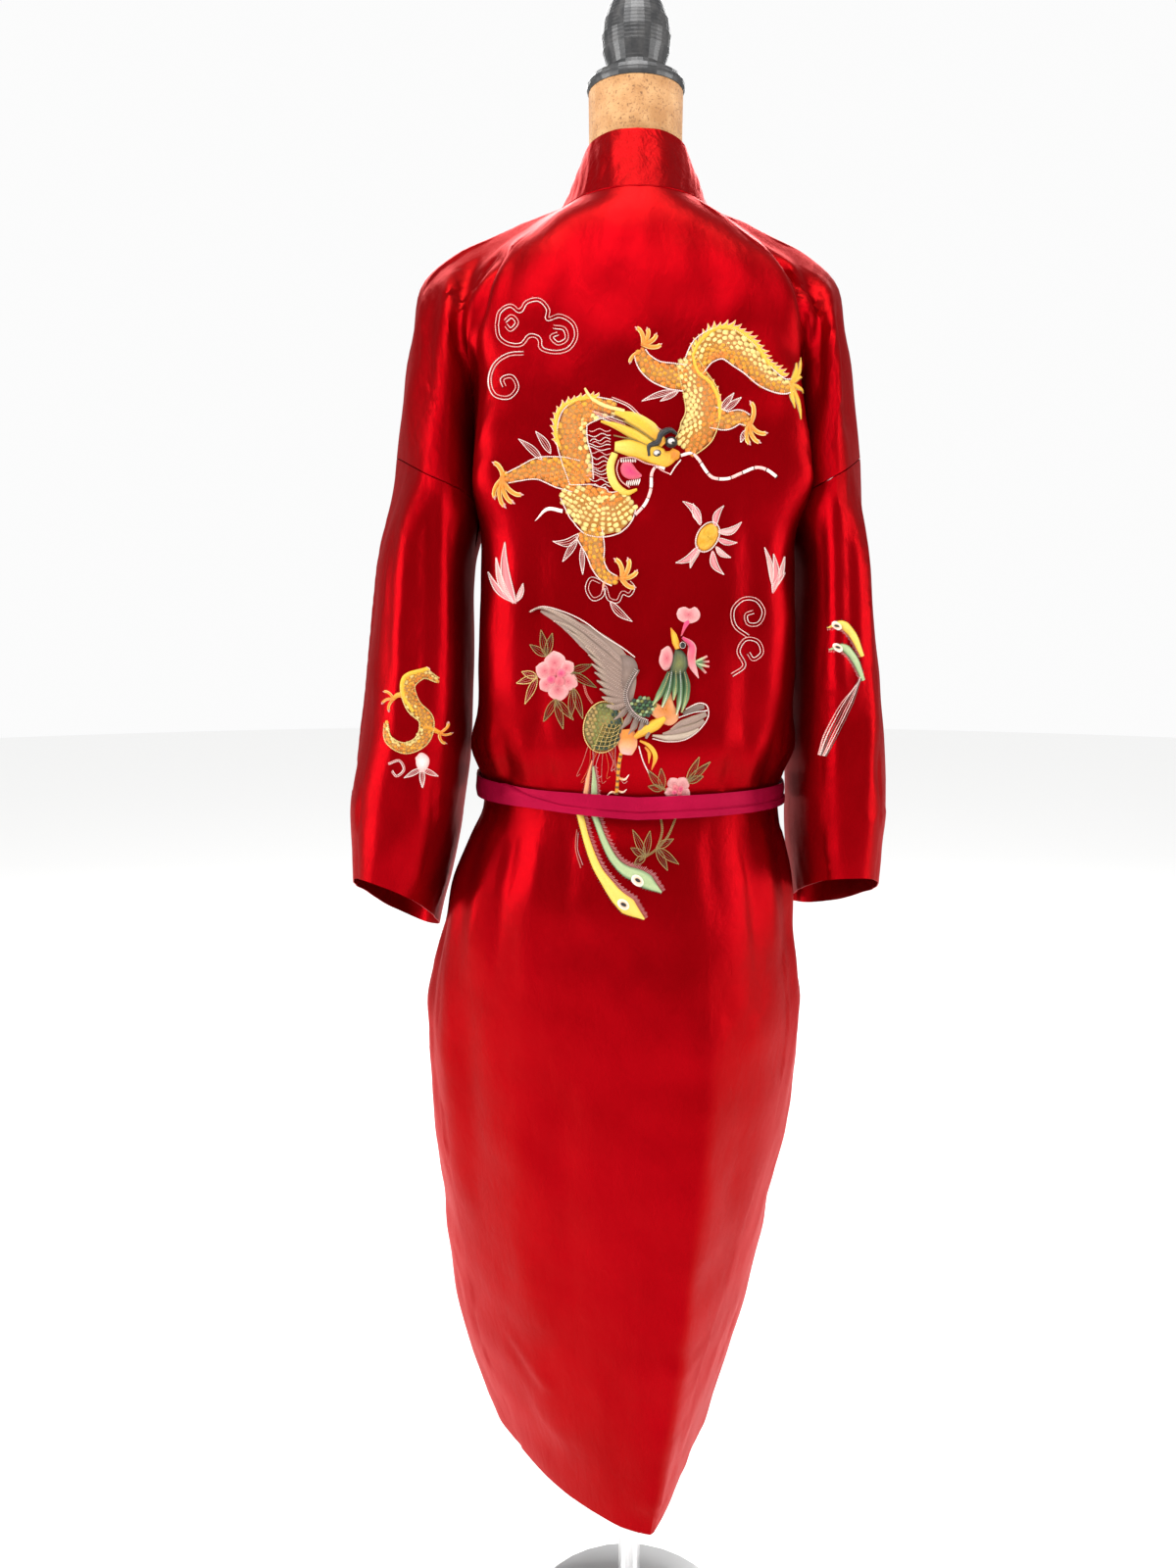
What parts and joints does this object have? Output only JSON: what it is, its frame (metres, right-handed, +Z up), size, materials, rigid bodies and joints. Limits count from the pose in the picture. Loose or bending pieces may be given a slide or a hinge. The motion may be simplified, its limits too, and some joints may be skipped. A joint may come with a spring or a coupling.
{
  "type": "silk kimono on dress form",
  "caption": "Red silk satin kimono robe with an embroidered dragon and phoenix back, belted on a limbless dress form that stands on a round base.",
  "frame": {"origin": "on the floor under the middle of the stand's round base", "axes": "+Z up; the robe's front faces -Y and its embroidered back +Y; the wearer's left is +X"},
  "size_m": [0.556, 0.4232, 1.8105],
  "materials": {
    "red_satin": "silk satin with a strong sheen, embroidered in coloured and metallic thread",
    "crimson_belt_satin": "darker, duller satin",
    "tan_linen": "speckled coarse linen",
    "black_turned_wood": "black paint with a worn sheen",
    "brushed_steel": "satin brushed"
  },
  "bodies": {
    "root": {"back_panel": "red_satin", "front_left": "red_satin", "front_right": "red_satin", "sleeve_left": "red_satin", "sleeve_right": "red_satin", "collar_band": "red_satin", "belt_wrap": "crimson_belt_satin", "belt_knot": "crimson_belt_satin", "belt_tail_left": "crimson_belt_satin", "belt_tail_right": "crimson_belt_satin", "form_body": "tan_linen", "neck_cap_finial": "black_turned_wood", "stand_pole": "brushed_steel", "stand_base": "brushed_steel"}
  },
  "joints": []
}
